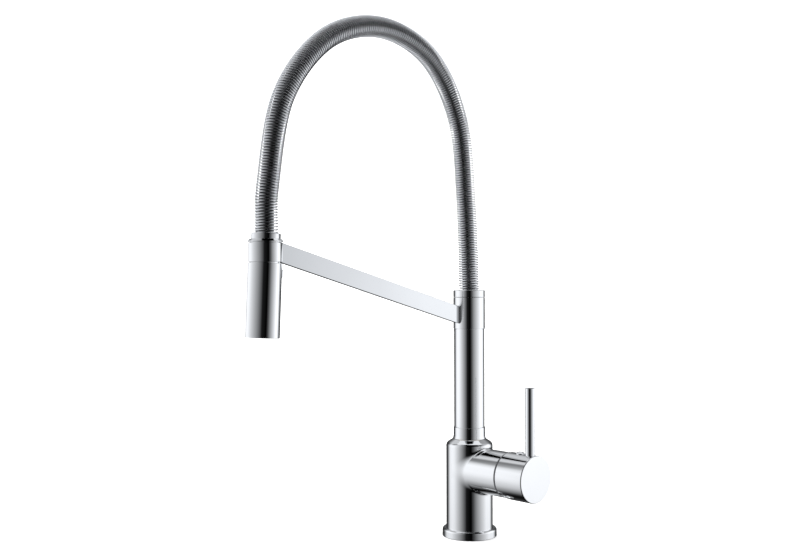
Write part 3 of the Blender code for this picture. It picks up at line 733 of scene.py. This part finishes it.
def make_shell():
    """The head's chrome tube, with a window for the button on its back."""
    mesh = lathe_mesh("shell_raw", [(8, SHELL_TOP - 2.5), (SHELL_BORE, SHELL_TOP - 2.5),
                                    (SHELL_BORE, SHELL_BOTTOM), (SHELL_RADIUS, SHELL_BOTTOM, SHELL_FILLET),
                                    (SHELL_RADIUS, SHELL_LIP, SHELL_LIP_FILLET),
                                    (SHELL_RADIUS - 0.33, SHELL_LIP), (SHELL_RADIUS - 0.33, SHELL_TOP),
                                    (8, SHELL_TOP)],
                      place=SPRAY_FRAME, sides=168)
    source = loose("shell", mesh)
    points = rounded_box_outline(BUTTON_WIDTH / 2 + 0.3, BUTTON_LOW - 0.3, BUTTON_HIGH + 0.3, 1.5)
    data = bmesh.new()
    low, high = ([data.verts.new(SPRAY_FRAME @ Vector((x, y, z)) * MM) for x, z in points]
                 for y in (9.0, 20.0))
    data.faces.new(low)
    data.faces.new(high)
    for k in range(len(points)):
        data.faces.new((low[k], low[k - 1], high[k - 1], high[k]))
    bmesh.ops.recalc_face_normals(data, faces=data.faces)
    window = bpy.data.meshes.new("button_window")
    data.to_mesh(window)
    data.free()
    tool = loose("button_window", window)
    cut = source.modifiers.new("button_window", "BOOLEAN")
    cut.object = tool
    mesh = take_mesh(source, "spray_shell_mesh")
    bpy.data.objects.remove(tool)
    inverse, turn = SPRAY_FRAME.inverted(), SPRAY_FRAME.to_3x3()

    def normal_at(co):
        local = inverse @ (co / MM)
        across = Vector((local.x, local.y, 0))
        radius = across.length
        if radius < 0.5 * (SHELL_RADIUS + SHELL_BORE):
            return turn @ -across.normalized() if radius > SHELL_BORE - 0.2 else None
        fillet = SHELL_LIP_FILLET if local.z > SHELL_TOP - SHELL_FILLET else SHELL_FILLET
        out = radius - (SHELL_RADIUS - fillet)
        above = local.z - (SHELL_LIP - SHELL_LIP_FILLET)
        below = (SHELL_BOTTOM + SHELL_FILLET) - local.z
        end = Vector((0, 0, max(above, 0) - max(below, 0)))
        made = across.normalized() * max(out, 0) + end
        return (turn @ made).normalized() if made.length > 1e-6 else None

    shade_exactly(mesh, normal_at)
    stand("spray_shell_fine", mesh, "chrome", "spray_head", ["spray_shell"])


def make_button():
    """The mode button: a crowned pad that stands a little proud of the shell."""
    half, back = BUTTON_WIDTH / 2, 11.4
    levels = [(0.0, -4.6), (0.0, -1.9), (0.06, -1.45), (0.2, -1.05), (0.45, -0.72)]
    levels += [(0.45 + (half - 3.0) * k / 6, -0.72 * (1 - k / 6) ** 2) for k in range(1, 7)]
    data = bmesh.new()
    rings = []
    for inset, depth in levels:
        shrink = min(inset, 0.5 * (BUTTON_HIGH - BUTTON_LOW) - 0.6)
        points = rounded_box_outline(half - inset, BUTTON_LOW + shrink, BUTTON_HIGH - shrink,
                                     max(1.3 - 0.5 * shrink, 0.25))
        rings.append([data.verts.new(SPRAY_FRAME @ Vector((x, max(BUTTON_FACE + depth, back), z)) * MM)
                      for x, z in points])
    for low, high in zip(rings, rings[1:]):
        for k in range(len(low)):
            data.faces.new((low[k - 1], low[k], high[k], high[k - 1]))
    data.faces.new(rings[0])
    data.faces.new(rings[-1])
    bmesh.ops.recalc_face_normals(data, faces=data.faces)
    mesh = bpy.data.meshes.new("mode_button_mesh")
    data.to_mesh(mesh)
    data.free()
    mesh.shade_smooth()
    mesh.set_sharp_from_angle(angle=math.radians(40))
    stand("mode_button_fine", mesh, "chrome", "button", ["mode_button"])


def make_collar():
    """The collar on the hose's end."""
    radius = 12.3
    turned("hose_collar", [(8, -9.6), (radius, -9.6), (radius, COLLAR_TOP, 0.8), (10.4, COLLAR_TOP, 0.3),
                           (10.4, 2), (7, 2), (7, -2), (8, -2)], "chrome", "hose_end",
           place=SPRAY_FRAME)


def make_spray_face():
    """The black face that the nozzles and the aerator sit in."""
    turned("spray_face", [(5.7, -70.6), (6.6, -70.2, 0.3), (11.8, -70.2, 0.3), (12.5, -70.6, 0.2),
                          (12.5, -66), (5.7, -66)], "black_plastic", "spray_head",
           place=SPRAY_FRAME)


def make_nozzles():
    """Two rings of hollow silicone nozzle tips, each drawn as rings of vertices from base to mouth."""
    sides = 14
    levels = ((0.85, -68.0), (0.85, -70.1), (0.62, -70.7), (0.5, -70.85), (0.28, -70.85),
              (0.22, -69.6))
    data = bmesh.new()
    for row, (radius, count) in enumerate(((7.8, 12), (10.4, 18))):
        for k in range(count):
            a = TURN * (k + 0.5 * row) / count
            centre = Vector((radius * math.cos(a), radius * math.sin(a), 0))
            rings = []
            for size, height in levels:
                around = [TURN * q / sides for q in range(sides)]
                spots = [centre + Vector((size * math.cos(b), size * math.sin(b), height))
                         for b in around]
                rings.append([data.verts.new(SPRAY_FRAME @ spot * MM) for spot in spots])
            for low, high in zip(rings, rings[1:]):
                for q in range(sides):
                    data.faces.new((low[q - 1], low[q], high[q], high[q - 1]))
            data.faces.new(rings[0])
            data.faces.new(rings[-1])
    bmesh.ops.recalc_face_normals(data, faces=data.faces)
    mesh = bpy.data.meshes.new("nozzle_tips_mesh")
    data.to_mesh(mesh)
    data.free()
    mesh.shade_smooth()
    mesh.set_sharp_from_angle(angle=math.radians(35))
    stand("nozzle_tips", mesh, "silicone", "spray_head", [])


def make_aerator_screen():
    """Two layers of crossed bars inside the aerator's round mouth."""
    mouth, gap, half_width, half_depth, shortest = 4.9, 0.9, 0.16, 0.2, 0.5
    lower, upper = -69.3, -68.95
    data = bmesh.new()
    for number in range(-5, 6):
        offset = number * gap
        half = math.sqrt(max(mouth ** 2 - offset ** 2, 0))
        if half < shortest:
            continue
        for size, centre in (((half, half_width, half_depth), (0, offset, lower)),
                             ((half_width, half, half_depth), (offset, 0, upper))):
            made = bmesh.ops.create_cube(data, size=2.0)["verts"]
            bmesh.ops.scale(data, vec=size, verts=made)
            bmesh.ops.translate(data, vec=centre, verts=made)
    bmesh.ops.transform(data, matrix=Matrix.Scale(MM, 4) @ SPRAY_FRAME, verts=data.verts)
    mesh = bpy.data.meshes.new("aerator_screen_mesh")
    data.to_mesh(mesh)
    data.free()
    stand("aerator_screen", mesh, "steel", "spray_head", [])


# ---------------------------------------------------------------- carried over CAD pieces

KEPT = {
    "rubber": ("base_gasket", "cartridge_seal", "lower_o_ring", "upper_o_ring", "nipple_o_ring",
               "dock_ring"),
    "brass": ("inlet_plate", "retaining_nut", "riser_spigot", "hose_socket", "hose_nipple",
              "swivel_nut", "cartridge_stem", "diverter_spool"),
    "steel": ("hot_inlet_tube", "cold_inlet_tube", "spout_grub_screw", "water_tube", "button_spring",
              "stem_pivot_pin", "cap_set_screw"),
    "white_plastic": ("swivel_bush", "cartridge_housing", "waterway", "aerator", "cartridge_carrier"),
    "ceramic": ("fixed_ceramic_disc", "moving_ceramic_disc"),
    "black_plastic": ("check_valve",),
    "silicone": ("nozzle_mat",),
}


def finish_kept_nodes():
    """Gives every CAD node that stays its finish."""
    for finish, names in KEPT.items():
        for name in names:
            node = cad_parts[name]
            node.data.materials.clear()
            node.data.materials.append(FINISH[finish])


# ---------------------------------------------------------------- studio

CAMERA_PLACE = Vector((0.7093, -0.756, 0.2505))
CAMERA_TURN = math.radians(46.96)
CAMERA_PITCH = math.radians(0.23)
CAMERA_ROLL = math.radians(-0.10)
LENS = 46.97
FRONT = math.degrees(math.atan2(CAMERA_PLACE.y, CAMERA_PLACE.x))   # the camera's compass angle


def make_camera():
    """The camera at the photograph's viewing angle."""
    data = bpy.data.cameras.new("camera")
    data.lens = LENS
    data.sensor_width = 36.0
    data.clip_start = 0.01
    camera = bpy.data.objects.new("camera", data)
    bpy.context.scene.collection.objects.link(camera)
    level = Matrix.Rotation(math.radians(90) + CAMERA_PITCH, 4, "X")
    turn = Matrix.Rotation(CAMERA_TURN, 4, "Z") @ level
    camera.matrix_world = Matrix.Translation(CAMERA_PLACE) @ turn @ Matrix.Rotation(CAMERA_ROLL, 4, "Z")
    bpy.context.scene.camera = camera


def brightness_ramp(nodes, value, stops, low, high):
    """Brightness as a piecewise linear function of a value between low and high."""
    scaled = nodes.new("ShaderNodeMapRange")
    scaled.inputs["From Min"].default_value = low
    scaled.inputs["From Max"].default_value = high
    nodes.id_data.links.new(value, scaled.inputs["Value"])
    ramp = nodes.new("ShaderNodeValToRGB")
    points = ramp.color_ramp.elements
    while len(points) < len(stops):
        points.new(0.5)
    for point, (at, bright) in zip(points, stops):
        point.position = (at - low) / (high - low)
        point.color = (bright, bright, bright, 1.0)
    nodes.id_data.links.new(scaled.outputs["Result"], ramp.inputs["Fac"])
    return ramp.outputs["Color"]


TENT_RADIUS = 0.58
TENT_LOW, TENT_HIGH = -0.85, 0.92
TENT_TINT = (0.975, 0.997, 1.030)                     # the cloth's faint cool cast
# Brightness by angle round the column: 0 is the camera's side, 180 straight behind the object.
LOWER_ROUND = ((-180, 0.12), (-150, 0.05), (-134, 0.05), (-122, 0.40), (-110, 0.95), (-92, 1.05),
               (-78, 0.97), (-60, 0.66), (-42, 0.37), (-26, 0.14), (-15, 0.01), (9, 0.0),
               (20, 0.08), (36, 0.32), (52, 0.54), (70, 0.80), (88, 1.10), (116, 1.12), (124, 0.80),
               (133, 0.30), (142, 0.05), (180, 0.12))
UPPER_ROUND = ((-180, 0.52), (-170, 0.60), (-126, 0.62), (-117, 0.68), (-112, 0.45), (-107, 0.20),
               (-100, 0.23), (-92, 0.38), (-84, 0.66), (-60, 0.55), (-42, 0.33), (-26, 0.10),
               (-15, 0.0), (68, 0.0), (84, 0.38), (100, 0.46), (120, 0.50), (140, 0.30), (180, 0.52))
LOWER_FADE = ((-0.85, 0.0), (-0.70, 0.12), (-0.59, 0.24), (-0.46, 0.40), (-0.34, 0.57),
              (-0.20, 0.72), (-0.05, 0.92), (0.05, 1.0), (0.92, 1.0))
UPPER_SHARE = ((-0.85, 0.0), (0.30, 0.0), (0.52, 1.0), (0.92, 1.0))
CEILING_AHEAD = ((-0.58, 0.86), (0.10, 0.86), (0.20, 0.0), (0.58, 0.0))    # dark toward the camera
CEILING_MARGIN = 0.002


def make_tent():
    """A round photographer's tent: white walls with a dark gap at the camera and dark flags behind.

    Only reflections see it, so it hides nothing from any camera and casts no light on the floor.
    """
    corners = [(0, TENT_LOW / MM), (TENT_RADIUS / MM, TENT_LOW / MM),
               (TENT_RADIUS / MM, TENT_HIGH / MM), (0, TENT_HIGH / MM)]
    tent = loose("light_tent", lathe_mesh("light_tent", corners, sides=96))
    tent.rotation_euler.z = math.radians(FRONT)
    material = bpy.data.materials.new("tent_light")
    material.use_nodes = True
    nodes, links = material.node_tree.nodes, material.node_tree.links
    nodes.clear()
    place = nodes.new("ShaderNodeSeparateXYZ")
    links.new(nodes.new("ShaderNodeTexCoord").outputs["Object"], place.inputs["Vector"])
    angle = nodes.new("ShaderNodeMath")
    angle.operation = "ARCTAN2"
    links.new(place.outputs["Y"], angle.inputs[0])
    links.new(place.outputs["X"], angle.inputs[1])

    def by_angle(stops):
        return brightness_ramp(nodes, angle.outputs["Value"], [(math.radians(a), b) for a, b in stops],
                               -math.pi, math.pi)

    def by_height(stops):
        return brightness_ramp(nodes, place.outputs["Z"], stops, TENT_LOW, TENT_HIGH)

    def mixed(operation, share, first, second):
        node = nodes.new("ShaderNodeMix")
        node.data_type = "RGBA"
        node.blend_type = operation
        for socket, value in (("Factor_Float", share), ("A_Color", first), ("B_Color", second)):
            target = next(i for i in node.inputs if i.identifier == socket)
            if isinstance(value, bpy.types.NodeSocket):
                links.new(value, target)
            else:
                target.default_value = value
        return next(o for o in node.outputs if o.identifier == "Result_Color")

    lower = mixed("MULTIPLY", 1.0, by_angle(LOWER_ROUND), by_height(LOWER_FADE))
    wall = mixed("MIX", by_height(UPPER_SHARE), lower, by_angle(UPPER_ROUND))
    overhead = nodes.new("ShaderNodeMath")
    overhead.operation = "GREATER_THAN"
    overhead.inputs[1].default_value = TENT_HIGH - CEILING_MARGIN
    links.new(place.outputs["Z"], overhead.inputs[0])
    ceiling = brightness_ramp(nodes, place.outputs["X"], CEILING_AHEAD, -TENT_RADIUS, TENT_RADIUS)
    whole = mixed("MIX", overhead.outputs["Value"], wall, ceiling)
    glow = nodes.new("ShaderNodeEmission")
    links.new(mixed("MULTIPLY", 1.0, whole, (*TENT_TINT, 1.0)), glow.inputs["Color"])
    links.new(glow.outputs["Emission"], nodes.new("ShaderNodeOutputMaterial").inputs["Surface"])
    tent.data.materials.append(material)
    for flag in ("visible_camera", "visible_diffuse", "visible_transmission",
                 "visible_volume_scatter", "visible_shadow"):
        setattr(tent, flag, False)


def make_floor():
    """A plain pale floor that runs out to the white background."""
    data = bmesh.new()
    bmesh.ops.create_circle(data, cap_ends=True, segments=96, radius=30.0)
    mesh = bpy.data.meshes.new("floor")
    data.to_mesh(mesh)
    data.free()
    floor = loose("floor", mesh)
    floor.location.z = -0.0002
    made = surface("pale_floor", (0.93, 0.93, 0.93), (0.95, 0.95, 0.95), (0.85, 0.95), 0.0, 3.0, 8.0)
    mesh.materials.append(made)
    floor.visible_glossy = False


def make_light():
    """An even white surround and one broad soft light overhead."""
    world = bpy.data.worlds.new("studio")
    bpy.context.scene.world = world
    world.use_nodes = True
    world.node_tree.nodes["Background"].inputs["Color"].default_value = (1, 1, 1, 1)
    world.node_tree.nodes["Background"].inputs["Strength"].default_value = 2.0
    world.cycles_visibility.glossy = False
    data = bpy.data.lights.new("overhead", "AREA")
    data.shape = "DISK"
    data.size = 1.2
    data.energy = 6.0
    lamp = bpy.data.objects.new("overhead", data)
    lamp.location = (0.1, -0.2, 1.5)
    lamp.visible_camera = False
    lamp.visible_glossy = False
    bpy.context.scene.collection.objects.link(lamp)
    bpy.context.scene.view_settings.view_transform = "Standard"


make_camera()
make_base()
make_valve_body()
make_column()
make_arm()
make_holder()
make_lever()
make_arch()
make_shell()
make_button()
make_collar()
make_spray_face()
make_nozzles()
make_aerator_screen()
finish_kept_nodes()
make_tent()
make_floor()
make_light()
